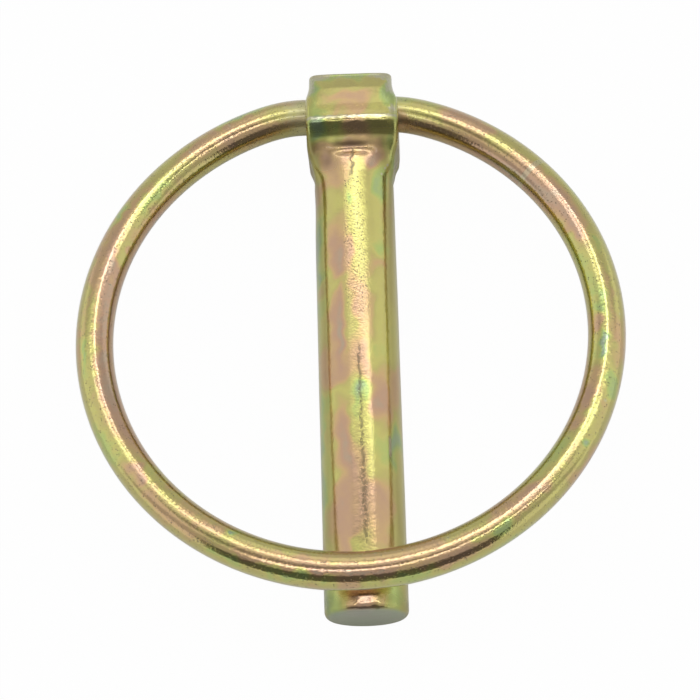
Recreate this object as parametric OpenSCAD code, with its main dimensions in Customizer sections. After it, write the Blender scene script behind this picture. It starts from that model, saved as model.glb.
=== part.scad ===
/* [Shank] */
// Diameter of the round shank
shank_d = 8; // [6:0.5:10]
// Length from the head's shoulder to the end of the shank
grip_len = 47.1; // [40:0.1:70]
// Radius that rounds the end of the shank
end_r = 0.8; // [0.3:0.1:1.5]
// Length of the slightly narrowed stretch that the ring rests on
lead_len = 5.3; // [4.5:0.1:8]
// How much the shank's radius narrows over that stretch
lead_drop = 0.05; // [0.02:0.01:0.3]

/* [Head] */
// Width of the head across the hole's mouths
head_w = 9.5; // [8.5:0.1:13]
// Width of the head at its top
head_top_w = 8.1; // [7:0.1:12]
// Height of the head over its shoulder
head_h = 8; // [7:0.1:12]
// Depth of the head from front to back at its lower edge
head_depth = 10.8; // [10:0.1:14]
// Depth of the head from front to back at its top
head_top_depth = 6.4; // [5:0.1:10]
// Height of that deepest edge over the shoulder
brow_h = 2.2; // [1.6:0.1:3]
// How far the head's front leans back over its lower half
brow_lean = 0.65; // [0.3:0.05:1]
// Radius on the head's four upright edges
edge_r = 2; // [0.8:0.1:2.4]
// Length below the shoulder over which the head runs out into the shank
neck_len = 3.2; // [2.5:0.1:5]
// Width of the neck where it starts to flare into the head
neck_w = 9.05; // [8.3:0.05:11]
// Depth of the die mark across the shank's crest under the head
mark_depth = 0.2; // [0.1:0.05:0.4]

/* [Ring] */
// Diameter of the ring's wire
wire_d = 3.65; // [2.5:0.05:4.2]
// Inner diameter of the ring
ring_inner_d = 46; // [43:0.1:60]
// Gap between the ring's two ends inside the head
end_gap = 1.4; // [0.6:0.1:3]
// How far the ring has slid sideways in the hole
ring_slide = 0.76; // [0:0.02:1]

/* [Fit] */
// Height of the hole's axis over the shoulder
hole_h = 5; // [4.6:0.1:5.4]
// Clearance between the bent wire and the hole's wall
hole_play = 0.05; // [0.03:0.01:0.1]
// Gap between the ring and the shank where they cross
rest_gap = 0.1; // [0.05:0.05:0.3]

/* [Hidden] */
$fn = 96;
far = 60;
shank_r = shank_d / 2;
wire_r = wire_d / 2;
ring_r = ring_inner_d / 2 + wire_r;

// Heights along the shank's axis, measured from where the straight shank begins
shoulder_y = neck_len;
top_y = shoulder_y + head_h;
hinge_y = shoulder_y + hole_h;
brow_y = shoulder_y + brow_h;
end_y = shoulder_y - grip_len;
lead_y = end_y + lead_len;

// The lower facet of the head's brow, and the shoulder that dips into the shank
facet_y = shoulder_y + brow_h / 2;
facet_depth = shank_d + 0.6;
shoulder_drop = 0.2;
shoulder_depth = shank_d - 0.1;
neck_foot_depth = 0.3 * shank_d;

// The head's front bends at mid height, and its flanks swell beside the hole
bend_y = (brow_y + top_y) / 2;
bend_depth = head_depth - 2 * brow_lean;
flank_y = hinge_y - 0.1;
waist_y = hinge_y + 1.4;
waist_w = head_top_w + 0.2;

// The neck swells a hair over the shank before it widens to the flare
swell = 0.06;
swell_y = 0.2 * neck_len;
flare_y = shoulder_y - 0.45;
root_r = shank_r + swell / 2;
mark_r = 1.2;
mark_y = shoulder_y - 0.3;

// The ring's wire curves inside the hole, so the hole is wider by the curve's rise
reach_in_head = head_w / 2 + ring_slide;
wire_rise = ring_r - sqrt(pow(ring_r, 2) - pow(reach_in_head, 2));
hole_r = wire_r + wire_rise / 2 + hole_play;
centre_reach = ring_r - wire_rise / 2;

// The ring leans on the shank's crest, which sets its slope
far_reach = centre_reach + sqrt(pow(ring_r, 2) - pow(ring_slide, 2));
crest_r = shank_r - lead_drop / 2;
ring_slope = asin((crest_r + wire_r + rest_gap) / far_reach);
half_gap = asin(end_gap / 2 / ring_r);

// Unit vector from one point to the next
function toward(a, b) = (b - a) / norm(b - a);

// Distance from a corner to where its rounding starts
function setback(a, b, c, r) =
    r * tan(90 - acos(toward(b, a) * toward(b, c)) / 2);

// Centre of the circle that rounds the corner b
function round_centre(a, b, c, r) =
    b + (toward(b, a) + toward(b, c)) / norm(toward(b, a) + toward(b, c))
    * norm([setback(a, b, c, r), r]);

// True where the outline, drawn anticlockwise, turns left
function turns_left(a, b, c) = cross(b - a, c - b) > 0;

// Half an outline, as across, up and radius of rounding, with its mirror image added
function both_sides(half) =
    concat(half, [for (i = [len(half) - 1 : -1 : 0]) [-half[i][0], half[i][1], half[i][2]]]);

// An outline of corners, each rounded by a true arc of its own radius
module rounded_outline(corners) {
    count = len(corners);
    function at(i) = [for (k = [0, 1]) corners[(i + count) % count][k]];
    function radius(i) = corners[i][2];
    difference() {
        union() {
            polygon([for (i = [0 : count - 1], side = [-1, 1])
                at(i) + toward(at(i), at(i + side))
                * setback(at(i - 1), at(i), at(i + 1), radius(i))]);
            for (i = [0 : count - 1])
                if (turns_left(at(i - 1), at(i), at(i + 1)))
                    translate(round_centre(at(i - 1), at(i), at(i + 1), radius(i)))
                        circle(r = radius(i));
        }
        for (i = [0 : count - 1])
            if (!turns_left(at(i - 1), at(i), at(i + 1)))
                translate(round_centre(at(i - 1), at(i), at(i + 1), radius(i)))
                    circle(r = radius(i));
    }
}

// The head's outline seen from the side, as depth across and height up
module side_outline() {
    foot_round = 0.2;
    facet_round = 1;
    brow_round = 0.45;
    bend_round = 2.4;
    top_round = 0.5;
    rounded_outline(both_sides([
        [neck_foot_depth / 2, 0, foot_round],
        [shoulder_depth / 2, shoulder_y - shoulder_drop, facet_round],
        [facet_depth / 2, facet_y, facet_round],
        [head_depth / 2, brow_y, brow_round],
        [bend_depth / 2, bend_y, bend_round],
        [head_top_depth / 2, top_y, top_round]
    ]));
}

// The head's outline seen from the front, as width across and height up
module front_outline() {
    foot_w = head_w - 0.2;
    foot_round = 0.2;
    flank_round = 1.5;
    waist_round = 2;
    top_round = 0.45;
    rounded_outline(both_sides([
        [foot_w / 2, -1, foot_round],
        [head_w / 2, brow_y, flank_round],
        [head_w / 2, flank_y, flank_round],
        [waist_w / 2, waist_y, waist_round],
        [head_top_w / 2, top_y, top_round]
    ]));
}

// The round body that the neck is forged in, flaring out to clear the head
module neck_round() {
    foot_y = -0.5;
    rotate([-90, 0, 0]) rotate_extrude()
        polygon([
            [0, foot_y],
            [shank_r, foot_y],
            [shank_r, 0],
            [shank_r + swell, swell_y],
            [neck_w / 2, flare_y],
            [head_depth, flare_y + head_depth - neck_w / 2],
            [head_depth, far],
            [0, far]
        ]);
}

// A long bar leaning with the head's front, with its upright edges rounded
module leaning_bar() {
    lean = atan((head_depth - head_top_depth) / 2 / (top_y - brow_y));
    clear_of_front = 0.15;
    clear_of_flanks = 0.05;
    reach = head_w / 2 + clear_of_flanks;
    depth = 2 * head_depth;
    translate([0, brow_y, head_depth / 2 + clear_of_front]) rotate([-90 - lean, 0, 0])
        translate([0, 0, -far / 2]) linear_extrude(far)
            rounded_outline([
                [-reach, 0, edge_r],
                [reach, 0, edge_r],
                [reach, depth, edge_r],
                [-reach, depth, edge_r]
            ]);
}

// The shank from its root in the head to its rounded end, turned about its axis
module shank() {
    foot_r = shank_r - lead_drop;
    rotate([90, 0, 0]) rotate_extrude() {
        polygon([
            [0, -brow_y],
            [root_r, -brow_y],
            [shank_r, 0],
            [shank_r, -lead_y],
            [foot_r, -end_y - end_r],
            [foot_r - end_r, -end_y],
            [0, -end_y]
        ]);
        translate([foot_r - end_r, -end_y - end_r]) intersection() {
            circle(r = end_r);
            square(2 * end_r);
        }
    }
}

// The head and neck, as what the two outlines and the rounded bodies have in common
module head() {
    intersection() {
        translate([0, 0, -far / 2]) linear_extrude(far) front_outline();
        rotate([90, 0, 90]) translate([0, 0, -far / 2]) linear_extrude(far)
            rotate(90) mirror([0, 1]) side_outline();
        neck_round();
        leaning_bar();
        mirror([0, 0, 1]) leaning_bar();
    }
}

// The forged pin: shank, neck and head in one piece, with the ring's hole through the head
module pin() {
    color("darkkhaki") difference() {
        union() {
            shank();
            head();
        }
        translate([-far / 2, hinge_y, 0]) rotate([0, 90, 0]) cylinder(r = hole_r, h = far);
        for (side = [-1, 1])
            translate([-far / 2, mark_y, side * (shank_r - mark_depth + mark_r)])
                rotate([0, 90, 0]) cylinder(r = mark_r, h = far);
    }
}

// The sprung ring of round wire, open inside the head, where its two ends face each other
module ring() {
    color("darkkhaki") translate([-ring_slide, hinge_y, 0]) rotate([-ring_slope, 0, 0])
        translate([0, -centre_reach, 0]) rotate(90 + half_gap)
            rotate_extrude(angle = 360 - 2 * half_gap) translate([ring_r, 0]) circle(r = wire_r);
}

pin();
ring();
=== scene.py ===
import bpy
import bmesh
import math
import numpy as np
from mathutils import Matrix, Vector


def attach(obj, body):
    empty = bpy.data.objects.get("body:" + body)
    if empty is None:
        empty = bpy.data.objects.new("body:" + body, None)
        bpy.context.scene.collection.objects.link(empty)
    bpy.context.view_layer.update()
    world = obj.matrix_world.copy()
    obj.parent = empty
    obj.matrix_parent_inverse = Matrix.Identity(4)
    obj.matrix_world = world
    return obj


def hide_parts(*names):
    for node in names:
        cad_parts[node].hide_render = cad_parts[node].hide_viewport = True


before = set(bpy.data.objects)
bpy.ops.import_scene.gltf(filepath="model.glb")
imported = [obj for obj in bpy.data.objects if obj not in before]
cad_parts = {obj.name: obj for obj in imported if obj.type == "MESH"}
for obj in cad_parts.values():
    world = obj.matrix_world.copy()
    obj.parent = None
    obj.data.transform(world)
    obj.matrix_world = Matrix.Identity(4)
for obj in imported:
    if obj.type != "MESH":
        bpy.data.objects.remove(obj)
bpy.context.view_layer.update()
mm = 0.001


# Camera, floor and lights

studio = {
    "cameraPlace": (5.382, -86.892, 203.866),   # mm from the part's origin
    "cameraTurn": (18.893, 1.661, -2.231),      # degrees
    "lens": 113.14,
    "floorTilt": 1.666,          # the pin lies on its brow and its tip
    "floorUnderBrow": (5.4, -5.37),
    "floorSize": 1.6,
    "floorColour": (0.88, 0.88, 0.87, 1),
    "floorWhite": 0.975,         # how far the camera sees the table as plain white
    "lampDistance": 0.6,
    # name, tilt towards the head, half height, turn to the right, half width (degrees), level
    "lamps": [
        ("farTube", 23.1, 2.8, 4.5, 28.0, 1.9),
        ("farGlow", 30.8, 4.4, 4.0, 4.5, 2.9),
        ("nearTube", -10.5, 2.1, 4.5, 28.0, 3.6),
    ],
    "skyLevel": 0.94,
    # from tilt, to tilt, softness, from side, to side, softness (degrees), level
    "skyZones": [
        (38, 180, 3, -48, 48, 6, 0.65),       # room beyond the head
        (46, 68, 1, -9, 8, 1, 1.1),           # bright wall there
        (-9, 18, 2.5, -30, 36, 3, 0.8),       # ceiling between the tubes
        (17, 24, 3, -24, 33, 1.5, 1.3),       # glow under the far tube
        (-8, 9, 2.5, -30, 36, 3, 0.32),
        (-42, -14, 7, -70, 70, 7, 0.56),      # fading ceiling
        (-83, -41, 1.5, -47, 44, 1.5, 0.13),  # the dark shape behind the camera
    ],
}


def addNode(tree, kind, x, y, inputs=None, **settings):
    # inputs are values or the outputs of other nodes
    node = tree.nodes.new(kind)
    node.location = (x, y)
    for name, value in settings.items():
        setattr(node, name, value)
    for name, value in (inputs or {}).items():
        socket = node.inputs[name]
        if isinstance(value, bpy.types.NodeSocket):
            tree.links.new(value, socket)
        else:
            socket.default_value = value
    return node


def doMath(tree, x, y, operation, *values, clamp=False):
    node = addNode(tree, "ShaderNodeMath", x, y, dict(enumerate(values)),
                   operation=operation, use_clamp=clamp)
    return node.outputs[0]


def step(tree, x, y, value, low, high, start=0.0, end=1.0):
    node = addNode(tree, "ShaderNodeMapRange", x, y, {
        "Value": value, "From Min": low, "From Max": high, "To Min": start, "To Max": end},
        interpolation_type="SMOOTHSTEP")
    return node.outputs["Result"]


def blendColour(tree, x, y, factor, first, second, kind="MIX"):
    # the colour sockets of a mix node share their names, so they go by number
    node = addNode(tree, "ShaderNodeMix", x, y, data_type="RGBA", blend_type=kind)
    for number, value in ((0, factor), (6, first), (7, second)):
        if isinstance(value, bpy.types.NodeSocket):
            tree.links.new(value, node.inputs[number])
        else:
            node.inputs[number].default_value = value
    return node.outputs[2]


def buildCamera():
    data = bpy.data.cameras.new("camera")
    data.lens = studio["lens"]
    data.sensor_width = 36
    data.clip_start = 0.01
    camera = bpy.data.objects.new("camera", data)
    bpy.context.scene.collection.objects.link(camera)
    camera.location = [v * mm for v in studio["cameraPlace"]]
    camera.rotation_mode = "ZYX"
    camera.rotation_euler = [math.radians(a) for a in studio["cameraTurn"]]
    bpy.context.scene.camera = camera


def buildFloor():
    half = studio["floorSize"] / 2
    corners = [(-half, -half, 0), (half, -half, 0), (half, half, 0), (-half, half, 0)]
    mesh = bpy.data.meshes.new("floor")
    mesh.from_pydata(corners, [], [(0, 1, 2, 3)])
    floor = bpy.data.objects.new("floor", mesh)
    bpy.context.scene.collection.objects.link(floor)
    y, z = studio["floorUnderBrow"]
    floor.location = (0, y * mm, z * mm)
    floor.rotation_euler = (-math.radians(studio["floorTilt"]), 0, 0)
    material = bpy.data.materials.new("whiteTable")
    material.use_nodes = True
    tree = material.node_tree
    tree.nodes.clear()
    paint = addNode(tree, "ShaderNodeBsdfDiffuse", 0, 0, {"Color": studio["floorColour"]})
    glow = addNode(tree, "ShaderNodeEmission", 0, -160, {"Color": (1, 1, 1, 1), "Strength": 1.0})
    path = addNode(tree, "ShaderNodeLightPath", -200, 200)
    share = doMath(tree, 0, 200, "MULTIPLY", path.outputs["Is Camera Ray"], studio["floorWhite"])
    both = addNode(tree, "ShaderNodeMixShader", 200, 0,
                   {0: share, 1: paint.outputs[0], 2: glow.outputs[0]})
    out = addNode(tree, "ShaderNodeOutputMaterial", 400, 0)
    tree.links.new(both.outputs[0], out.inputs["Surface"])
    mesh.materials.append(material)


def buildLamps():
    reach = studio["lampDistance"]
    for name, tilt, halfHeight, side, halfWidth, level in studio["lamps"]:
        data = bpy.data.lights.new(name, "AREA")
        data.shape = "RECTANGLE"
        data.size = 2 * reach * math.tan(math.radians(halfWidth))
        data.size_y = 2 * reach * math.tan(math.radians(halfHeight))
        data.energy = level * math.pi * data.size * data.size_y
        lamp = bpy.data.objects.new(name, data)
        bpy.context.scene.collection.objects.link(lamp)
        turn, swing = math.radians(tilt), math.radians(side)
        lamp.location = (reach * math.sin(swing), reach * math.cos(swing) * math.sin(turn),
                         reach * math.cos(swing) * math.cos(turn))
        lamp.rotation_euler = Vector(lamp.location).to_track_quat("Z", "Y").to_euler()


def buildSky():
    world = bpy.data.worlds.new("studio")
    bpy.context.scene.world = world
    world.use_nodes = True
    tree = world.node_tree
    tree.nodes.clear()
    place = addNode(tree, "ShaderNodeTexCoord", -1400, 0)
    axes = addNode(tree, "ShaderNodeSeparateXYZ", -1200, 0, {0: place.outputs["Generated"]})
    tilt = doMath(tree, -1000, 100, "ARCTAN2", axes.outputs["Y"], axes.outputs["Z"])
    side = doMath(tree, -1000, -100, "ARCSINE", axes.outputs["X"])
    level = studio["skyLevel"]
    for i, zone in enumerate(studio["skyZones"]):
        x = -800 + 400 * i
        near, far, softTilt, left, right, softSide = (math.radians(angle) for angle in zone[:6])
        band = doMath(tree, x, 0, "MULTIPLY",
                      step(tree, x, 200, tilt, near - softTilt, near + softTilt),
                      step(tree, x, 400, tilt, far + softTilt, far - softTilt))
        band = doMath(tree, x + 100, 0, "MULTIPLY", band,
                      step(tree, x, 600, side, left - softSide, left + softSide))
        band = doMath(tree, x + 200, 0, "MULTIPLY", band,
                      step(tree, x, 800, side, right + softSide, right - softSide))
        level = step(tree, x + 300, 0, band, 0, 1, level, zone[6])
    light = addNode(tree, "ShaderNodeBackground", 2200, 100,
                    {"Color": (1, 0.995, 0.98, 1), "Strength": level})
    white = addNode(tree, "ShaderNodeBackground", 2200, -100, {"Color": (1, 1, 1, 1), "Strength": 1.0})
    path = addNode(tree, "ShaderNodeLightPath", 2200, 400)
    both = addNode(tree, "ShaderNodeMixShader", 2400, 0,
                   {0: path.outputs["Is Camera Ray"], 1: light.outputs[0], 2: white.outputs[0]})
    out = addNode(tree, "ShaderNodeOutputWorld", 2600, 0)
    tree.links.new(both.outputs[0], out.inputs["Surface"])


buildCamera()
buildFloor()
buildLamps()
buildSky()
bpy.context.scene.view_settings.view_transform = "Standard"
print("camera, floor and lights are set")


# Yellow passivated zinc

filmTones = [
    # place on the ramp, colour
    (0.00, (0.53, 0.47, 0.16)),    # olive gold
    (0.13, (0.57, 0.53, 0.165)),    # yellow
    (0.26, (0.455, 0.54, 0.165)),    # yellow green
    (0.38, (0.355, 0.465, 0.215)),    # green
    (0.48, (0.345, 0.42, 0.31)),    # grey teal
    (0.58, (0.43, 0.37, 0.27)),    # mauve grey
    (0.70, (0.53, 0.335, 0.215)),   # pink
    (0.85, (0.60, 0.41, 0.195)),    # orange
    (1.00, (0.53, 0.47, 0.16)),
]


def groupInputs(group, sockets):
    for name, kind, value in sockets:
        socket = group.interface.new_socket(name, in_out="INPUT", socket_type="NodeSocket" + kind)
        if value is not None:
            socket.default_value = value


def groupOutputs(group, sockets):
    for name, kind in sockets:
        group.interface.new_socket(name, in_out="OUTPUT", socket_type="NodeSocket" + kind)


def buildFilmGroup():
    # the film's thickness drifts in patches, and each thickness has its own tone
    group = bpy.data.node_groups.new("passivationFilm", "ShaderNodeTree")
    groupInputs(group, [
        ("Place", "Vector", None), ("Film", "Float", 0.0), ("Drift", "Float", 0.3),
        ("Patch Size", "Float", 3.0), ("Stretch", "Float", 3.0), ("Mottle", "Float", 0.1)])
    groupOutputs(group, [("Color", "Color"), ("Thickness", "Float")])
    start = addNode(group, "NodeGroupInput", -1400, 0)
    finish = addNode(group, "NodeGroupOutput", 800, 0)
    axes = addNode(group, "ShaderNodeSeparateXYZ", -1200, 0, {0: start.outputs["Place"]})
    stretched = doMath(group, -1050, -150, "DIVIDE", axes.outputs["Y"], start.outputs["Stretch"])
    spot = addNode(group, "ShaderNodeCombineXYZ", -900, 0,
                   {"X": axes.outputs["X"], "Y": stretched, "Z": axes.outputs["Z"]})
    size = doMath(group, -900, -200, "DIVIDE", 1.0, start.outputs["Patch Size"])
    patches = addNode(group, "ShaderNodeTexNoise", -700, 0, {
        "Vector": spot.outputs[0], "Scale": size, "Detail": 1.5, "Roughness": 0.45, "Distortion": 0.5})
    fine = addNode(group, "ShaderNodeTexNoise", -700, -300, {
        "Vector": start.outputs["Place"], "Scale": 1.6, "Detail": 3.0, "Roughness": 0.6})
    drift = doMath(group, -600, 100, "SUBTRACT", patches.outputs["Fac"], 0.5)
    drift = doMath(group, -500, 0, "MULTIPLY", drift, start.outputs["Drift"])
    mottle = doMath(group, -600, -400, "SUBTRACT", fine.outputs["Fac"], 0.5)
    mottle = doMath(group, -500, -300, "MULTIPLY", mottle, start.outputs["Mottle"])
    total = doMath(group, -350, 0, "ADD", start.outputs["Film"], drift)
    total = doMath(group, -200, 0, "ADD", total, mottle)
    around = doMath(group, -50, 0, "FRACT", total)
    ramp = addNode(group, "ShaderNodeValToRGB", 100, 0, {"Fac": around})
    stops = ramp.color_ramp.elements
    for stop, (place, colour) in ((stops[0], filmTones[0]), (stops[1], filmTones[-1])):
        stop.position, stop.color = place, (*colour, 1)
    for place, colour in filmTones[1:-1]:
        stops.new(place).color = (*colour, 1)
    group.links.new(ramp.outputs["Color"], finish.inputs["Color"])
    group.links.new(patches.outputs["Fac"], finish.inputs["Thickness"])
    return group


def buildGrainGroup():
    group = bpy.data.node_groups.new("metalGrain", "ShaderNodeTree")
    groupInputs(group, [
        ("Place", "Vector", None), ("Pitted", "Float", 0.0), ("Grain Size", "Float", 0.3),
        ("Pit Size", "Float", 0.3), ("Drawn Lines", "Float", 0.3)])
    groupOutputs(group, [("Height", "Float"), ("Pits", "Float")])
    start = addNode(group, "NodeGroupInput", -1200, 0)
    finish = addNode(group, "NodeGroupOutput", 600, 0)
    where, pitted = start.outputs["Place"], start.outputs["Pitted"]

    # fine grain, coarser where the metal is pitted, over a slow wave
    size = doMath(group, -1000, -100, "DIVIDE", 1.0, start.outputs["Grain Size"])
    grain = addNode(group, "ShaderNodeTexNoise", -800, 0,
                    {"Vector": where, "Scale": size, "Detail": 2.0, "Roughness": 0.6})
    coarse = doMath(group, -600, 100, "MULTIPLY_ADD", pitted, 0.9, 1.0)
    coarse = doMath(group, -500, 0, "MULTIPLY", grain.outputs["Fac"], coarse)
    wave = addNode(group, "ShaderNodeTexNoise", -800, -250,
                   {"Vector": where, "Scale": 0.9, "Detail": 2.0, "Roughness": 0.5})
    wave = doMath(group, -400, -250, "MULTIPLY", wave.outputs["Fac"], 2.2)

    # lines drawn along the piece
    axes = addNode(group, "ShaderNodeSeparateXYZ", -1000, -500, {0: where})
    slow = doMath(group, -900, -650, "MULTIPLY", axes.outputs["Y"], 0.02)
    drawn = addNode(group, "ShaderNodeCombineXYZ", -800, -500,
                    {"X": axes.outputs["X"], "Y": slow, "Z": axes.outputs["Z"]})
    drawn = addNode(group, "ShaderNodeTexNoise", -600, -500,
                    {"Vector": drawn.outputs[0], "Scale": 4.0, "Detail": 2.0, "Roughness": 0.6})
    drawn = doMath(group, -250, -500, "MULTIPLY", drawn.outputs["Fac"], start.outputs["Drawn Lines"])

    # pits open up in clusters
    cells = addNode(group, "ShaderNodeTexVoronoi", -800, 300, {"Vector": where, "Scale": 4.2})
    spread = addNode(group, "ShaderNodeTexNoise", -800, 550,
                     {"Vector": where, "Scale": 2.2, "Detail": 3.0, "Roughness": 0.65})
    opening = doMath(group, -800, 700, "MULTIPLY", pitted, 0.34)
    opening = doMath(group, -700, 700, "SUBTRACT", 0.72, opening)
    full = doMath(group, -650, 850, "ADD", opening, 0.12)
    reach = step(group, -600, 700, spread.outputs["Fac"], opening, full)
    reach = doMath(group, -600, 550, "MULTIPLY", reach, start.outputs["Pit Size"])
    core = doMath(group, -450, 450, "MULTIPLY", reach, 0.4)
    pits = step(group, -400, 300, cells.outputs["Distance"], reach, core)
    pits = doMath(group, -300, 300, "MULTIPLY", pits, step(group, -400, 700, reach, 0.02, 0.06))

    height = doMath(group, -300, 0, "ADD", coarse, wave)
    height = doMath(group, -150, 0, "ADD", height, drawn)
    height = doMath(group, 0, 0, "SUBTRACT", height, doMath(group, -100, 300, "MULTIPLY", pits, 0.9))
    group.links.new(height, finish.inputs["Height"])
    group.links.new(pits, finish.inputs["Pits"])
    return group


def buildWearAndHighlightGroup():
    # wear shows on sharp edges, and where it is asked for; what the pin asks for along its brow is partly
    # wear and partly a painted highlight
    group = bpy.data.node_groups.new("edgeWearAndHighlight", "ShaderNodeTree")
    groupInputs(group, [
        ("Place", "Vector", None), ("Worn And Highlight", "Float", 0.0), ("Sharpness", "Float", 0.55),
        ("Breakup", "Float", 0.5)])
    groupOutputs(group, [("Wear And Highlight", "Float")])
    start = addNode(group, "NodeGroupInput", -800, 0)
    finish = addNode(group, "NodeGroupOutput", 400, 0)
    shape = addNode(group, "ShaderNodeNewGeometry", -800, 300)
    noise = addNode(group, "ShaderNodeTexNoise", -600, -100, {
        "Vector": start.outputs["Place"], "Scale": 2.6, "Detail": 3.0, "Roughness": 0.65})
    shift = doMath(group, -500, -100, "SUBTRACT", noise.outputs["Fac"], 0.5)
    shift = doMath(group, -400, -100, "MULTIPLY", shift, start.outputs["Breakup"])
    bend = doMath(group, -350, -50, "MULTIPLY", shift, 0.2)
    bend = doMath(group, -300, 100, "ADD", shape.outputs["Pointiness"], bend)
    full = doMath(group, -150, -100, "ADD", start.outputs["Sharpness"], 0.08)
    edges = step(group, 0, 0, bend, start.outputs["Sharpness"], full)
    rubbedAndHighlight = doMath(group, -200, -300, "ADD", start.outputs["Worn And Highlight"], shift)
    rubbedAndHighlight = step(group, 0, -300, rubbedAndHighlight, 0.35, 0.65)
    wearAndHighlight = doMath(group, 200, 0, "MAXIMUM", edges, rubbedAndHighlight)
    group.links.new(wearAndHighlight, finish.inputs["Wear And Highlight"])
    return group


filmGroup = buildFilmGroup()
grainGroup = buildGrainGroup()
wearAndHighlightGroup = buildWearAndHighlightGroup()


def buildPlatedMetal(title, look):
    material = bpy.data.materials.new(title)
    material.use_nodes = True
    tree = material.node_tree
    tree.nodes.clear()
    painted = {}
    for i, name in enumerate(("place", "film", "bare", "seam", "pitted", "wornAndHighlight", "paintedShadeAndRough")):
        node = addNode(tree, "ShaderNodeAttribute", -1400, -250 * i, attribute_name=name)
        painted[name] = node.outputs["Vector" if name == "place" else "Fac"]
    bare, paintedShadeAndRough = painted["bare"], painted["paintedShadeAndRough"]
    colours = addNode(tree, "ShaderNodeGroup", -1000, 200, node_tree=filmGroup)
    grain = addNode(tree, "ShaderNodeGroup", -1000, -100, node_tree=grainGroup)
    wearAndHighlight = addNode(tree, "ShaderNodeGroup", -1000, -400, node_tree=wearAndHighlightGroup)
    for node, socket, name, values in ((colours, "Film", "film", look["film"]),
                                       (grain, "Pitted", "pitted", look["grain"]),
                                       (wearAndHighlight, "Worn And Highlight", "wornAndHighlight", look["wearAndHighlight"])):
        tree.links.new(painted["place"], node.inputs["Place"])
        tree.links.new(painted[name], node.inputs[socket])
        for key, value in values.items():
            node.inputs[key].default_value = value

    # the seam is a broken dark line of pits
    crackDarkness, crackDepth, pitRoughness = 0.85, 2.0, 0.25
    crumbs = addNode(tree, "ShaderNodeTexNoise", -1000, -700, {
        "Vector": painted["place"], "Scale": 3.2, "Detail": 4.0, "Roughness": 0.7})
    crack = step(tree, -900, -600, crumbs.outputs["Fac"], 0.42, 0.54)
    crack = doMath(tree, -800, -700, "MULTIPLY", painted["seam"], crack)

    # the worn colour goes on here; along the pin's brow it is partly a painted highlight
    rubbedAndHighlight = doMath(tree, -700, 100, "MULTIPLY", wearAndHighlight.outputs["Wear And Highlight"], look["wearAndHighlightShare"])
    colour = blendColour(tree, -600, 200, rubbedAndHighlight, colours.outputs["Color"], look["wornAndHighlightColour"])
    cut = doMath(tree, -550, 50, "MULTIPLY", bare, look["bareShare"])
    colour = blendColour(tree, -450, 200, cut, colour, look["bareColour"])
    # painted shade: the colour is darkened by multiplying where this mask is set
    colour = blendColour(tree, -400, 400, paintedShadeAndRough, colour, look["paintedShadeColour"], "MULTIPLY")
    pits = doMath(tree, -550, -100, "MULTIPLY", grain.outputs["Pits"], look["pitDarkness"])
    dark = doMath(tree, -550, -300, "MULTIPLY", crack, crackDarkness)
    dark = doMath(tree, -450, -50, "MAXIMUM", pits, dark)
    colour = blendColour(tree, -300, 200, dark, colour, look["pitColour"])

    rough = doMath(tree, -500, 500, "MULTIPLY", colours.outputs["Thickness"], look["roughnessDrift"])
    rough = doMath(tree, -400, 500, "ADD", look["roughness"], rough)
    for i, (mask, share) in enumerate(((bare, look["bareRoughness"]), (dark, pitRoughness),
                                       (paintedShadeAndRough, look["roughnessWhereShaded"]))):
        rough = doMath(tree, -200 + 100 * i, 500, "MULTIPLY_ADD", mask, share, rough, clamp=True)
    height = doMath(tree, -400, -400, "MULTIPLY", crack, crackDepth)
    height = doMath(tree, -300, -300, "SUBTRACT", grain.outputs["Height"], height)
    bump = addNode(tree, "ShaderNodeBump", -150, -300, {
        "Height": height, "Strength": look["bump"], "Distance": look["bumpDepth"] * mm})
    # the film's own gloss, which the bare cut doesn't have
    lacquer = doMath(tree, -150, 0, "MULTIPLY_ADD", bare, -look["lacquer"], look["lacquer"])
    metal = addNode(tree, "ShaderNodeBsdfPrincipled", 100, 200, {
        "Base Color": colour, "Roughness": rough, "Metallic": 1.0, "Normal": bump.outputs[0],
        "Coat Weight": lacquer, "Coat Roughness": look["lacquerRoughness"], "Coat IOR": 1.5})
    out = addNode(tree, "ShaderNodeOutputMaterial", 400, 200)
    tree.links.new(metal.outputs[0], out.inputs["Surface"])
    return material


def addAttribute(mesh, name, values):
    values = np.asarray(values, np.float32)
    kind = "FLOAT_VECTOR" if values.ndim == 2 else "FLOAT"
    attribute = mesh.attributes.new(name, kind, "POINT")
    attribute.data.foreach_set("vector" if values.ndim == 2 else "value", values.ravel())


def meshFromGrid(name, points):
    rows, columns = points.shape[:2]
    index = np.arange(rows * columns).reshape(rows, columns)
    a, b = index[:-1], index[1:]
    quads = np.stack([a, b, np.roll(b, -1, 1), np.roll(a, -1, 1)], -1).reshape(-1, 4)
    mesh = bpy.data.meshes.new(name)
    mesh.vertices.add(rows * columns)
    mesh.vertices.foreach_set("co", (points.reshape(-1, 3) * mm).astype(np.float32).ravel())
    mesh.loops.add(quads.size)
    mesh.loops.foreach_set("vertex_index", quads.astype(np.int32).ravel())
    mesh.polygons.add(len(quads))
    mesh.polygons.foreach_set("loop_start", np.arange(0, quads.size, 4, dtype=np.int32))
    mesh.update(calc_edges=True)
    return mesh


def closeEnds(mesh, rows, columns):
    # caps the first and the last row of a grid
    bm = bmesh.new()
    bm.from_mesh(mesh)
    bm.verts.ensure_lookup_table()
    bm.faces.new([bm.verts[i] for i in range(columns)])
    bm.faces.new([bm.verts[(rows - 1) * columns + i] for i in reversed(range(columns))])
    bmesh.ops.recalc_face_normals(bm, faces=bm.faces)
    bm.to_mesh(mesh)
    bm.free()


def smoothStep(value, low, high):
    t = np.clip((value - low) / (high - low), 0, 1)
    return t * t * (3 - 2 * t)


def between(value, start, full, fade, gone):
    return smoothStep(value, start, full) * (1 - smoothStep(value, fade, gone))


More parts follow.
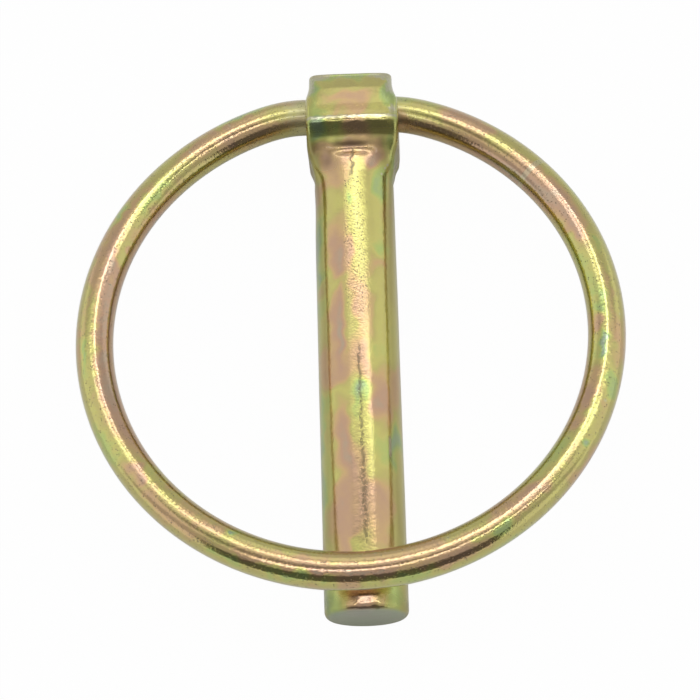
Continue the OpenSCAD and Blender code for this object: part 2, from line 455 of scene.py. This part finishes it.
def waves(points, size, seed, count=24):
    # a smooth uneven field, about 1 high, from seeded sine waves
    rng = np.random.default_rng(seed)
    total = np.zeros(points.shape[:-1])
    for _ in range(count):
        direction = rng.normal(size=3)
        direction /= np.linalg.norm(direction)
        rate = 2 * math.pi / (size * rng.uniform(0.6, 1.8))
        total += np.sin(points @ direction * rate + rng.uniform(0, 2 * math.pi))
    return total / math.sqrt(count / 2)


def layPatch(film, tone, u, v, mask):
    share = np.exp(-0.8 * (u * u + v * v) ** 1.5) * mask
    return film * (1 - share) + tone * share


# The forged pin

pin = {
    "columns": 240,
    "shankRadius": 4.0,
    "tip": -43.89,
    "tipRound": 0.7,
    "top": 11.19,
    "topRound": 0.36,
    # height along the pin, then reach to the left and to the right
    "leftReach": [
        (-0.3, 4.0), (0.6, 3.92), (1.1, 3.99), (1.55, 4.06), (2.0, 4.16), (2.4, 4.31), (2.9, 4.46),
        (3.3, 4.5), (5.4, 4.5), (7.8, 4.53), (8.5, 4.43), (9.0, 4.28), (9.6, 4.17), (11.2, 4.13),
    ],
    "rightReach": [
        (-0.3, 4.0), (0.6, 4.0), (1.1, 4.12), (1.55, 4.17), (2.0, 4.22), (2.4, 4.28), (2.85, 4.43),
        (3.3, 4.6), (4.2, 4.68), (5.0, 4.72), (7.8, 4.73), (8.5, 4.48), (9.0, 4.32), (9.6, 4.24),
        (11.2, 4.19),
    ],
    # height along the pin, depth from the axis to the front
    "depth": [
        (-0.3, 4.0), (2.72, 4.0), (3.0, 4.06), (3.45, 4.22), (3.95, 4.4), (5.15, 5.4), (5.65, 5.39),
        (6.2, 5.26), (7.1, 5.11), (8.1, 4.84), (9.1, 4.5), (10.0, 4.06), (11.2, 3.4),
    ],
    # height along the pin, breadth of the oval that shapes the front
    "breadth": [
        (-0.3, 4.0), (0.2, 4.02), (0.8, 4.28), (1.4, 4.7), (2.0, 5.35), (2.6, 6.5), (3.0, 7.7),
        (3.4, 9.0), (3.8, 10.6), (4.5, 13), (5.3, 16), (7.5, 22), (11.2, 22),
    ],
    # height along the pin, softness of the upright edges
    "edges": [
        (-0.3, 0.2), (0.8, 0.25), (1.5, 0.35), (2.2, 0.5), (3.0, 0.8), (4.0, 1.0), (6.0, 1.1),
        (9.0, 1.1), (11.2, 0.8),
    ],
    "dieMark": (0.0, 2.5, 1.75, 0.7, 0.36, 0.2),   # across, along, half width, upper and lower reach, depth
    "unevenness": 0.018,
    "headDents": 0.03,
    "browChips": 0.024,
    "squeeze": 0.1,                                # the left flank under the head
    "bruise": 0.205,                               # where the end was cut off
    "pitted": 1.05,
    "holeHeight": 8.2,
    "holeSides": 96,
    # across, radius: the hole widens at its mouths, so that its edges are soft
    "hole": [(4.4, 2.185), (4.6, 2.2), (4.72, 2.3), (4.86, 2.5), (6.0, 2.75)],
}


def pinRows():
    low, high = pin["tip"] + pin["tipRound"], pin["top"] - pin["topRound"]
    # from, to, how many rows
    stretches = [(low, -41, 30), (-41, -1, 130), (-1, 2.4, 30), (2.4, 4.1, 26),
                 (4.1, 4.9, 16), (4.9, 5.9, 36), (5.9, 8.6, 34), (8.6, high, 28)]
    rows = [np.linspace(first, last, count, endpoint=False) for first, last, count in stretches]
    return np.concatenate(rows + [[high]])


def profileAt(table, y, soft=0.12):
    # reads a table at the heights y, smoothed over the distance soft
    pitch, reach = 0.02, 30
    heights, values = np.array(table).T
    grid = np.arange(-1.5, 12.5, pitch)
    kernel = np.exp(-0.5 * (np.arange(-reach, reach + 1) * pitch / soft) ** 2)
    padded = np.pad(np.interp(grid, heights, values), reach, mode="edge")
    return np.interp(y, grid, np.convolve(padded, kernel / kernel.sum(), mode="valid"))


def softLess(a, b, soft):
    # the smaller of two reaches, with a soft corner where they meet
    return np.minimum(a, b) - np.maximum(soft - np.abs(a - b), 0) ** 2 / (4 * soft)


def pinRadius(y, angle):
    u = np.maximum(np.abs(np.sin(angle)), 1e-6)
    v = np.maximum(np.abs(np.cos(angle)), 1e-6)
    reach = np.where(np.sin(angle) < 0, profileAt(pin["leftReach"], y), profileAt(pin["rightReach"], y))
    breadth, depth = profileAt(pin["breadth"], y, 0.2), profileAt(pin["depth"], y, 0.1)
    oval = 1 / np.sqrt((u / breadth) ** 2 + (v / depth) ** 2)
    headRadius = softLess(oval, reach / u, profileAt(pin["edges"], y))
    blend = smoothStep(y, -0.3, 0.6)
    return pin["shankRadius"] * (1 - blend) + headRadius * blend


def capRows(edgeY, edgeRadius, rounding, side):
    # rows that round an end over and then run in to the axis
    turns = np.linspace(0, math.pi / 2, 9)[1:]
    rows = [edgeY + side * rounding * math.sin(turn) for turn in turns]
    radii = [edgeRadius - rounding * (1 - math.cos(turn)) for turn in turns]
    shares = np.linspace(0.93, 0.02, 13)
    inner = radii[-1]
    return np.array(rows + [rows[-1]] * len(shares)), np.array(radii + [inner * share for share in shares])


def buildPinGrid():
    y = pinRows()
    angle = np.linspace(0, 2 * math.pi, pin["columns"], endpoint=False)
    radius = pinRadius(*np.meshgrid(y, angle, indexing="ij"))
    topY, topRadius = capRows(y[-1], radius[-1], pin["topRound"], 1)
    tipY, tipRadius = capRows(y[0], radius[0], pin["tipRound"], -1)
    y = np.concatenate([tipY[::-1], y, topY])
    radius = np.concatenate([tipRadius[::-1], radius, topRadius])
    height, around = np.meshgrid(y, angle, indexing="ij")
    return shapePin(np.stack([radius * np.sin(around), height, radius * np.cos(around)], -1))


def dents(points, size, seed):
    return 0.5 + 0.5 * np.tanh(waves(points, size, seed))


def dieMarkAt(x, y, z):
    across, middle, halfWidth, upper, lower, depth = pin["dieMark"]
    gap = y - middle
    slope = np.where(gap > 0, np.exp(-(gap / upper) ** 4), np.exp(-(gap / lower) ** 2))
    return depth * np.exp(-((x - across) / halfWidth) ** 4) * slope * smoothStep(np.abs(z), 2.0, 3.0)


def bruiseAt(points):
    # the end was cut off, which bruised the crest beside it
    x, y, z = points[..., 0], points[..., 1], points[..., 2]
    width = np.exp(-(np.abs(x + 0.12 * waves(points, 1.4, 29)) / 0.95) ** 4)
    slope = np.clip(-y - 42.55, 0, 0.85) * smoothStep(z, 2.4, 3.4)
    return pin["bruise"] * width * slope * (1 + 0.1 * np.tanh(waves(points, 1.1, 23)))


def shapePin(points):
    x, y, z = points[..., 0], points[..., 1], points[..., 2]
    radius = np.hypot(x, z)
    out = np.stack([x, 0 * y, z], -1) / np.maximum(radius, 1e-6)[..., None]
    head = between(y, 4.6, 5.2, 10.2, 11.0)
    brow = np.exp(-((y - 5.25) / 0.4) ** 2)
    push = (pin["unevenness"] * dents(points * (1, 0.35, 1), 4.0, 7)
            + pin["headDents"] * dents(points, 4.5, 11) * head
            + pin["browChips"] * dents(points, 0.5, 19) * brow) * smoothStep(radius, 3.0, 3.6)
    push += pin["squeeze"] * smoothStep(-x, 1.0, 4.0) * np.exp(-((y + 2.2) / 2.6) ** 2)
    push += dieMarkAt(x, y, z) + bruiseAt(points)
    points = points - out * push[..., None]
    # the front is a little round from side to side, and more so towards the top
    bulge = 0.003 * x ** 2 * smoothStep(y, 5.0, 5.8) + 0.0007 * x ** 4 * smoothStep(y, 6.6, 9.2)
    points[..., 2] -= bulge * np.sign(z) * smoothStep(np.abs(z), 1.5, 2.6)
    points[..., 1] -= 0.01 * (x + 4.2) * smoothStep(y, 9.5, 11.0)   # the top is a little askew
    return points


# The film's tone on the front of the pin: across, along, half width, half length, lean, tone
pinPatches = [
    (-3.3, -1.6, 0.8, 2.0, 0.0, -0.24), (-3.0, -4.3, 0.6, 1.1, 0.0, 0.20),
    (-3.7, -7.6, 0.5, 4.0, 0.0, 0.46), (-3.0, -8.8, 0.5, 2.7, 0.0, 0.18),
    (-3.4, -12.0, 0.8, 0.9, 0.5, -0.12), (-3.5, -15.4, 0.7, 2.2, 0.0, 0.10),
    (-3.6, -19.5, 0.8, 2.5, 0.0, -0.20), (-2.9, -23.2, 0.9, 1.7, 0.0, 0.24),
    (-3.7, -30.7, 0.5, 7.7, 0.0, 0.44), (-3.0, -32.0, 0.6, 6.2, 0.0, 0.20),
    (-1.8, 0.1, 1.1, 1.5, 0.0, -0.22), (-1.7, -2.8, 1.1, 1.6, 0.0, 0.10),
    (-1.4, -5.1, 0.7, 1.1, 0.0, -0.15), (-1.9, -8.4, 0.9, 2.5, 0.0, -0.32),
    (-1.7, -11.3, 1.1, 1.0, 0.5, 0.30), (-2.0, -15.4, 0.8, 3.7, 0.0, -0.30),
    (-1.4, -16.3, 0.5, 4.9, 0.0, -0.40), (-2.0, -20.7, 1.2, 2.2, 0.0, -0.28),
    (-1.7, -23.2, 1.1, 1.0, 0.0, 0.20), (-0.7, -25.5, 0.7, 2.5, 0.0, 0.33),
    (-1.6, -26.6, 0.7, 3.2, 0.0, -0.30), (-1.1, -30.6, 0.9, 3.7, 0.0, -0.32),
    (-1.7, -35.2, 1.6, 3.2, 0.0, -0.27), (-0.2, -37.7, 1.1, 0.7, 0.0, 0.18),
    (-0.3, -2.5, 0.5, 1.2, 0.0, 0.40), (0.7, -2.9, 1.1, 4.2, 0.0, 0.10),
    (-0.6, -8.0, 0.6, 2.0, 0.0, -0.26), (0.7, -7.8, 0.8, 2.5, 0.0, 0.06),
    (0.2, -13.4, 1.4, 3.5, 0.0, -0.24), (-0.8, -15.2, 0.5, 3.7, 0.0, 0.05),
    (0.3, -19.3, 1.3, 2.2, 0.0, -0.28), (0.2, -22.6, 1.2, 1.0, 0.0, 0.41),
    (0.4, -26.6, 0.8, 3.0, 0.0, 0.12), (0.4, -32.0, 1.1, 3.2, 0.0, -0.26),
    (2.6, -1.1, 0.8, 2.7, 0.0, 0.36), (2.4, -4.5, 0.9, 2.0, 0.0, 0.16),
    (2.3, -7.6, 0.8, 1.6, 0.0, 0.26), (2.4, -9.7, 1.3, 0.7, 0.5, -0.14),
    (2.2, -11.9, 0.9, 1.4, 0.0, 0.12), (1.7, -15.2, 0.6, 2.2, 0.0, -0.16),
    (2.4, -15.9, 0.7, 3.2, 0.0, 0.12), (1.9, -18.6, 0.9, 1.5, 0.0, 0.22),
    (2.1, -23.7, 0.9, 3.0, 0.0, -0.33), (1.8, -29.0, 1.1, 3.0, 0.0, 0.22),
    (3.2, -27.4, 0.5, 2.7, 0.0, 0.43), (1.6, -34.8, 1.4, 4.0, 0.0, -0.25),
    (3.6, -6.4, 0.6, 7.4, 0.0, 0.00), (3.4, -21.6, 0.6, 2.2, 0.0, -0.20),
    (3.5, -34.0, 0.6, 4.5, 0.0, 0.05), (-3.9, 1.2, 0.7, 1.6, 0.0, 0.12),
    (-2.9, 2.8, 1.4, 0.9, 0.0, -0.16), (-2.3, 1.6, 1.0, 0.8, 0.0, -0.30),
    (0.2, 2.5, 2.0, 0.7, 0.0, -0.26), (2.6, 2.8, 1.3, 0.9, 0.0, -0.17),
    (2.1, 1.6, 0.8, 0.8, 0.0, -0.32), (3.9, 1.1, 0.7, 2.5, 0.0, 0.24), (-2.2, 3.9, 2.0, 0.5, 0.0, 0.13),
    (2.1, 3.6, 2.0, 0.6, 0.0, -0.16), (3.7, 3.3, 0.7, 1.0, 0.0, 0.20), (-3.3, 4.7, 0.9, 0.9, 0.0, 0.42),
    (-1.6, 4.8, 0.9, 0.7, 0.0, 0.20), (0.3, 4.7, 1.1, 0.9, 0.0, -0.20), (2.5, 4.7, 1.2, 0.9, 0.0, 0.06),
    (-2.5, 7.9, 1.4, 1.0, 0.0, 0.04), (0.0, 8.0, 2.2, 1.0, 0.0, -0.23), (2.8, 7.4, 0.7, 0.9, 0.0, 0.08),
    (-0.2, 6.4, 2.6, 0.6, 0.0, -0.18), (-2.8, 6.5, 1.1, 0.6, 0.0, 0.24),
    (2.6, 6.3, 0.9, 0.7, 0.0, 0.16), (0.0, 9.7, 3.5, 0.6, 0.0, 0.03), (0.0, 10.6, 4.2, 0.4, 0.0, 0.28),
    (-3.8, 9.2, 0.6, 1.7, 0.0, 0.36), (3.8, 8.7, 0.6, 2.0, 0.0, 0.38),
    (-3.8, -42.3, 0.6, 1.4, 0.0, 0.42), (-2.6, -42.9, 1.0, 1.2, 0.0, 0.22),
    (-1.2, -42.6, 0.9, 1.0, 0.0, -0.20), (0.1, -42.8, 1.0, 1.0, 0.0, -0.30),
    (1.6, -42.9, 0.9, 1.0, 0.0, -0.08), (2.8, -42.8, 0.7, 1.4, 0.0, 0.24),
]


def filmOnPin(points):
    x, y, z = points.T
    film = 0.03 + 0.14 * waves(points * (1, 0.28, 1), 6.0, 31)
    wobbleX = 0.18 * waves(points, 2.2, 41)
    wobbleY = 0.35 * waves(points, 2.6, 43)
    front = smoothStep(z, -0.6, 0.6)
    for across, middle, halfWidth, halfLength, lean, tone in pinPatches:
        u = (x + wobbleX - across) / halfWidth
        v = (y + wobbleY - middle - lean * (x - across)) / halfLength
        film = layPatch(film, tone, u, v, front)
    return film


def seamOnPin(x, y, z):
    # a line of pits runs down the crest, and a crack opens under the die mark
    line = x + 0.12 + 0.0105 * (y + 1) - 0.05 * np.sin(y * 2.3) - 0.04 * np.sin(y * 5.1 + 1)
    halfWidth = 0.15 + 0.2 * between(-y, 26, 33, 35.5, 37.5)
    seam = 0.85 * np.exp(-(line / halfWidth) ** 2) * between(-y, 17.2, 19.0, 37.0, 38.2)
    path = 0.12 * y - 0.17 + 0.1 * np.sin(y * 2.6) + 0.08 * np.sin(y * 6.1 + 2)
    crack = 0.8 * np.exp(-((x - path) / 0.15) ** 2) * between(-y, -3.0, -2.4, -0.4, 0.6)
    return np.maximum(seam, crack) * (z > 0)


def pitsOnPin(x, y, z):
    # the crest is pitted where it was squeezed between the dies
    crest = np.exp(-((x - 0.1) / 1.35) ** 4) * (z > 0)
    return (0.1 + pin["pitted"] * between(-y, -1.0, 0.5, 11.0, 18.0)) * crest


def wearAndHighlightOnPin(x, y, z):
    width = np.abs(x)
    # along the brow the band is partly edge wear and partly a painted highlight
    brow = 0.58 * np.exp(-((y - 5.55) / 0.4) ** 2) * smoothStep(np.abs(z), 4.3, 4.9)
    burr = 0.6 * np.exp(-((x - 4.2) / 0.8) ** 2 - ((y - 6.3) / 1.0) ** 2) * (z > 0)
    rim = 0.55 * smoothStep(y, 10.7, 11.1) * smoothStep(np.hypot(x, z), 2.4, 3.0)
    cap = (0.45 + 0.2 * smoothStep(width, 1.5, 3.5)) * smoothStep(y, 9.6, 10.6) * (z > 0)
    flank = 0.62 * smoothStep(width, 2.9, 3.9) * smoothStep(y, 6.8, 9.0) * smoothStep(z, 1.0, 2.5)
    return np.maximum.reduce([brow, burr, rim, cap, flank])


def paintedShadeOnPin(points, bare):
    # painted shade under the head, where the ring goes in and round the tip, and at the brow's outer
    # corners; the finish also makes these places rougher
    x, y, z = points.T
    width = np.abs(x)
    neck = 0.55 * between(y, -0.4, 2.2, 4.0, 4.8)
    neck *= np.maximum(smoothStep(width, 0.9, 1.9), smoothStep(y, 2.6, 3.2))
    mouth = 0.6 * np.exp(-(np.hypot(y - pin["holeHeight"], z) / 3.4) ** 4) * smoothStep(width, 4.0, 4.4)
    tip = 0.35 * smoothStep(-y, 41.4, 43.0) * smoothStep(width, 1.0, 2.4) * (1 - bare)
    corners = 0.35 * np.exp(-((y - 5.3) / 0.7) ** 2) * smoothStep(width, 3.2, 3.9) * smoothStep(z, 3.5, 4.5)
    paintedShade = np.maximum.reduce([neck, mouth, tip, corners])
    return np.clip(paintedShade * (1 + 0.3 * waves(points, 1.6, 71)), 0, 1)


def buildPinPiece():
    grid = buildPinGrid()
    mesh = meshFromGrid("forgedPin", grid)
    closeEnds(mesh, *grid.shape[:2])
    points = grid.reshape(-1, 3)
    x, y, z = points.T
    bare = smoothStep(-y, 43.5, 43.85)   # the cut end
    addAttribute(mesh, "place", points)
    addAttribute(mesh, "film", filmOnPin(points))
    addAttribute(mesh, "bare", bare)
    addAttribute(mesh, "seam", seamOnPin(x, y, z))
    addAttribute(mesh, "pitted", pitsOnPin(x, y, z))
    addAttribute(mesh, "wornAndHighlight", wearAndHighlightOnPin(x, y, z))
    addAttribute(mesh, "paintedShadeAndRough", paintedShadeOnPin(points, bare))
    piece = bpy.data.objects.new("forgedPin", mesh)
    bpy.context.scene.collection.objects.link(piece)
    drillPin(piece)
    return piece


def drillPin(piece):
    across, radius = np.array([(-x, r) for x, r in reversed(pin["hole"])] + pin["hole"]).T[:, :, None]
    angle = np.linspace(0, 2 * math.pi, pin["holeSides"], endpoint=False)
    y, z = pin["holeHeight"] + radius * np.cos(angle), radius * np.sin(angle)
    grid = np.stack([across + 0 * y, y, z], -1)
    mesh = meshFromGrid("drill", grid)
    closeEnds(mesh, *grid.shape[:2])
    cutter = bpy.data.objects.new("drill", mesh)
    bpy.context.scene.collection.objects.link(cutter)
    cut = piece.modifiers.new("hole", "BOOLEAN")
    cut.operation = "DIFFERENCE"
    cut.solver = "EXACT"
    cut.object = cutter
    bpy.context.view_layer.update()
    drilled = bpy.data.meshes.new_from_object(piece.evaluated_get(bpy.context.evaluated_depsgraph_get()))
    piece.modifiers.clear()
    piece.data = drilled
    bpy.data.objects.remove(cutter)


pinPiece = buildPinPiece()
print("pin has", len(pinPiece.data.polygons), "faces")


# The sprung ring

ring = {
    "radius": 24.82,
    "wireRadius": 1.82,
    "slide": -0.76,
    "hinge": (8.2, 0.0),
    "slope": 6.84,
    "farReach": 49.16,
    "endDrop": -0.2,        # the straight ends lie a little under the hinge line
    "straight": 4.3,
    "bendEnd": 8.3,
    "halfGap": 0.7,
    "brokenEdge": 0.25,     # at the cut ends
    "columns": 56,
    "rowLength": 0.22,
    "pitted": 0.75,
    "dulledAndShaded": (8, 9),       # degrees round from the head: middle and half length
}


# The film's tone on the ring: degrees round from the head, outward, half length in degrees, half width, tone
ringPatches = [
    (14, 0.9, 5, 0.9, 0.20), (19, -0.4, 5, 0.6, 0.05), (30, 0.5, 8, 0.8, -0.26),
    (45, 1.3, 12, 0.6, 0.08), (52, -0.6, 9, 0.8, -0.28), (66, -0.5, 7, 0.8, -0.34),
    (74, 0.7, 4, 0.4, 0.30), (80, 1.3, 12, 0.5, 0.14), (88, -0.6, 3.2, 0.7, 0.33),
    (93, -0.9, 2.5, 0.5, -0.2), (98, -0.2, 4, 0.5, 0.46), (101, -1.0, 4, 0.5, 0.12),
    (106, 0.9, 5, 0.8, 0.34), (112, -0.9, 6, 0.7, -0.30), (116, 0.2, 5, 0.6, 0.14),
    (123, 0.8, 3, 0.5, 0.42), (128, -0.9, 7, 0.6, 0.20), (134, 1.2, 7, 0.6, 0.12),
    (141, 0.0, 6, 0.7, -0.26), (148, 0.9, 4, 0.5, 0.38), (153, -1.0, 8, 0.6, 0.10),
    (160, 1.3, 6, 0.4, -0.22), (168, 1.4, 4, 0.5, 0.24), (172, -0.7, 8, 0.6, -0.14),
    (182, 0.2, 20, 0.4, -0.25), (184, 0.85, 22, 0.35, -0.32), (184, 1.4, 4, 0.4, -0.25),
    (193, 1.3, 6, 0.5, 0.30), (196, -1.0, 9, 0.6, 0.08), (207, -0.9, 2.5, 0.4, 0.46),
    (208, 1.45, 4, 0.3, 0.24), (214, -0.3, 5, 0.6, -0.2), (221, 1.0, 8, 0.6, -0.18),
    (230, -0.8, 7, 0.6, 0.14), (234, 0.2, 2.5, 1.0, -0.36), (243, 1.2, 9, 0.6, 0.22),
    (251, -0.9, 8, 0.6, -0.28), (256, 1.3, 6, 0.5, 0.12), (264, 0.8, 5, 0.5, 0.36),
    (270, -1.1, 13, 0.65, -0.32), (265, 0.3, 16, 0.4, 0.08), (279, 1.2, 8, 0.5, 0.06),
    (287, 0.7, 5, 0.5, -0.24), (292, -1.0, 6, 0.5, 0.08), (299, 1.1, 5, 0.5, 0.36),
    (308, -0.7, 9, 0.7, 0.28), (316, 0.9, 8, 0.6, 0.14), (327, 0.3, 5, 0.5, -0.22),
    (331, -0.6, 6, 0.7, -0.24), (337, 1.2, 7, 0.5, 0.40), (346, -0.4, 5, 0.8, 0.12),
    (349, 1.0, 4, 0.6, -0.14),
]


def filmOnRing(place, turn):
    outward, rise = place[:, 0], place[:, 2]
    film = -0.13 + 0.15 * waves(place * (1, 0.3, 1), 4.5, 53)
    turn = turn + 1.6 * waves(place, 2.2, 61)
    outward = outward + 0.16 * waves(place, 1.8, 67)
    front = smoothStep(rise, -0.6, 0.4)
    for middle, out, halfTurn, halfWidth, tone in ringPatches:
        film = layPatch(film, tone, (turn - middle) / halfTurn, (outward - out) / halfWidth, front)
    return film


def ringPath():
    radius, start, end = ring["radius"], ring["straight"], ring["bendEnd"]
    centre = radius - ring["farReach"]
    joinHeight = centre + math.sqrt(radius ** 2 - end ** 2)
    joinSlope = -end / math.sqrt(radius ** 2 - end ** 2)
    across = np.arange(ring["halfGap"], end, ring["rowLength"] * 0.6)
    share = np.clip((across - start) / (end - start), 0, 1)
    # a smooth curve joins the straight end to the arc
    height = (ring["endDrop"] * (2 * share ** 3 - 3 * share ** 2 + 1)
              + joinHeight * (3 * share ** 2 - 2 * share ** 3)
              + joinSlope * (end - start) * (share ** 3 - share ** 2))
    endAngle = math.asin(end / radius)
    count = int(2 * (math.pi - endAngle) * radius / ring["rowLength"])
    turn = np.linspace(endAngle, 2 * math.pi - endAngle, count)
    arc = np.stack([radius * np.sin(turn), centre + radius * np.cos(turn)], -1)
    right = np.stack([across, height], -1)
    left = (right * (-1, 1))[::-1]
    return np.concatenate([right, arc, left])


def buildRingPiece():
    path = ringPath()
    tangent = np.gradient(path, axis=0)
    tangent /= np.linalg.norm(tangent, axis=1)[:, None]
    outward = np.stack([-tangent[:, 1], tangent[:, 0]], -1)
    steps = np.linalg.norm(np.diff(path, axis=0), axis=1)
    length = np.concatenate([[0], np.cumsum(steps)])[:, None]
    angle = np.linspace(0, 2 * math.pi, ring["columns"], endpoint=False)
    radius = np.full((len(path), 1), ring["wireRadius"])
    radius[[0, -1]] -= ring["brokenEdge"]
    side, rise = radius * np.cos(angle), radius * np.sin(angle)
    flatX = path[:, :1] + outward[:, :1] * side
    flatY = path[:, 1:] + outward[:, 1:] * side
    slope = math.radians(ring["slope"])
    y = ring["hinge"][0] + flatY * math.cos(slope) + rise * math.sin(slope)
    z = ring["hinge"][1] - flatY * math.sin(slope) + rise * math.cos(slope)
    grid = np.stack([flatX + ring["slide"], y, z], -1)
    mesh = meshFromGrid("sprungRing", grid)
    closeEnds(mesh, *grid.shape[:2])
    place = np.stack([side, length + 0 * rise, rise], -1).reshape(-1, 3)
    centre = ring["radius"] - ring["farReach"]
    turn = np.degrees(np.arctan2(path[:, 0], path[:, 1] - centre)) % 360
    turn = np.repeat(turn, ring["columns"])
    # where the wire goes into the head it is rougher and paler, and darkened with painted shade
    middle, halfLength = ring["dulledAndShaded"]
    dullAndShaded = np.exp(-((np.minimum(turn, 360 - turn) - middle) / halfLength) ** 2)
    none = np.zeros(len(place))
    addAttribute(mesh, "place", place)
    addAttribute(mesh, "film", filmOnRing(place, turn))
    addAttribute(mesh, "bare", none)
    addAttribute(mesh, "seam", none)
    addAttribute(mesh, "pitted", none + ring["pitted"])
    addAttribute(mesh, "wornAndHighlight", 0.7 * dullAndShaded)
    addAttribute(mesh, "paintedShadeAndRough", 0.5 * dullAndShaded)
    piece = bpy.data.objects.new("sprungRing", mesh)
    bpy.context.scene.collection.objects.link(piece)
    return piece


ringPiece = buildRingPiece()
print("ring has", len(ringPiece.data.polygons), "faces")


# Finishes

pinLook = {
    "film": {"Drift": 0.24, "Patch Size": 2.0, "Stretch": 2.5, "Mottle": 0.1},
    "grain": {"Grain Size": 0.22, "Pit Size": 0.33, "Drawn Lines": 0.3},
    "wearAndHighlight": {"Sharpness": 0.56, "Breakup": 0.6},
    "wearAndHighlightShare": 0.8,
    # the light worn colour; along the pin's brow it makes a painted highlight as well as wear
    "wornAndHighlightColour": (0.55, 0.52, 0.4, 1),
    "bareShare": 0.85,
    "bareColour": (0.385, 0.42, 0.36, 1),
    "bareRoughness": 0.3,
    # painted shade, multiplied over the colour under the head, at the hole's mouths and round the tip
    "paintedShadeColour": (0.5, 0.5, 0.46, 1),
    "roughnessWhereShaded": 0.35,
    "pitDarkness": 0.75,
    "pitColour": (0.11, 0.085, 0.045, 1),
    "roughness": 0.15,
    "roughnessDrift": 0.06,
    "lacquer": 0.65,
    "lacquerRoughness": 0.1,
    "bump": 1.0,
    "bumpDepth": 0.012,
}
ringLook = {
    "film": {"Drift": 0.26, "Patch Size": 1.8, "Stretch": 2.4, "Mottle": 0.1},
    "grain": {"Grain Size": 0.24, "Pit Size": 0.4, "Drawn Lines": 0.5},
    "wearAndHighlight": {"Sharpness": 0.6, "Breakup": 0.6},
    "wearAndHighlightShare": 0.45,
    "wornAndHighlightColour": (0.55, 0.54, 0.36, 1),
    "bareShare": 0.85,
    "bareColour": (0.33, 0.34, 0.27, 1),
    "bareRoughness": 0.3,
    # painted shade, multiplied over the colour where the wire goes into the head
    "paintedShadeColour": (0.85, 0.85, 0.8, 1),
    "roughnessWhereShaded": 0.6,
    "pitDarkness": 0.7,
    "pitColour": (0.11, 0.085, 0.045, 1),
    "roughness": 0.09,
    "roughnessDrift": 0.06,
    "lacquer": 1.0,
    "lacquerRoughness": 0.08,
    "bump": 1.0,
    "bumpDepth": 0.0105,
}

finishes = ((pinPiece, "pin", "plated_pin", pinLook), (ringPiece, "ring", "plated_ring", ringLook))
for piece, node, slot, look in finishes:
    piece.data.materials.clear()
    piece.data.materials.append(buildPlatedMetal(slot.replace("_", "."), look))
    piece.data.shade_smooth()
    piece.data.set_sharp_from_angle(angle=math.radians(50))
    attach(piece, node)
    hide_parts(node)
print("finishes are on")
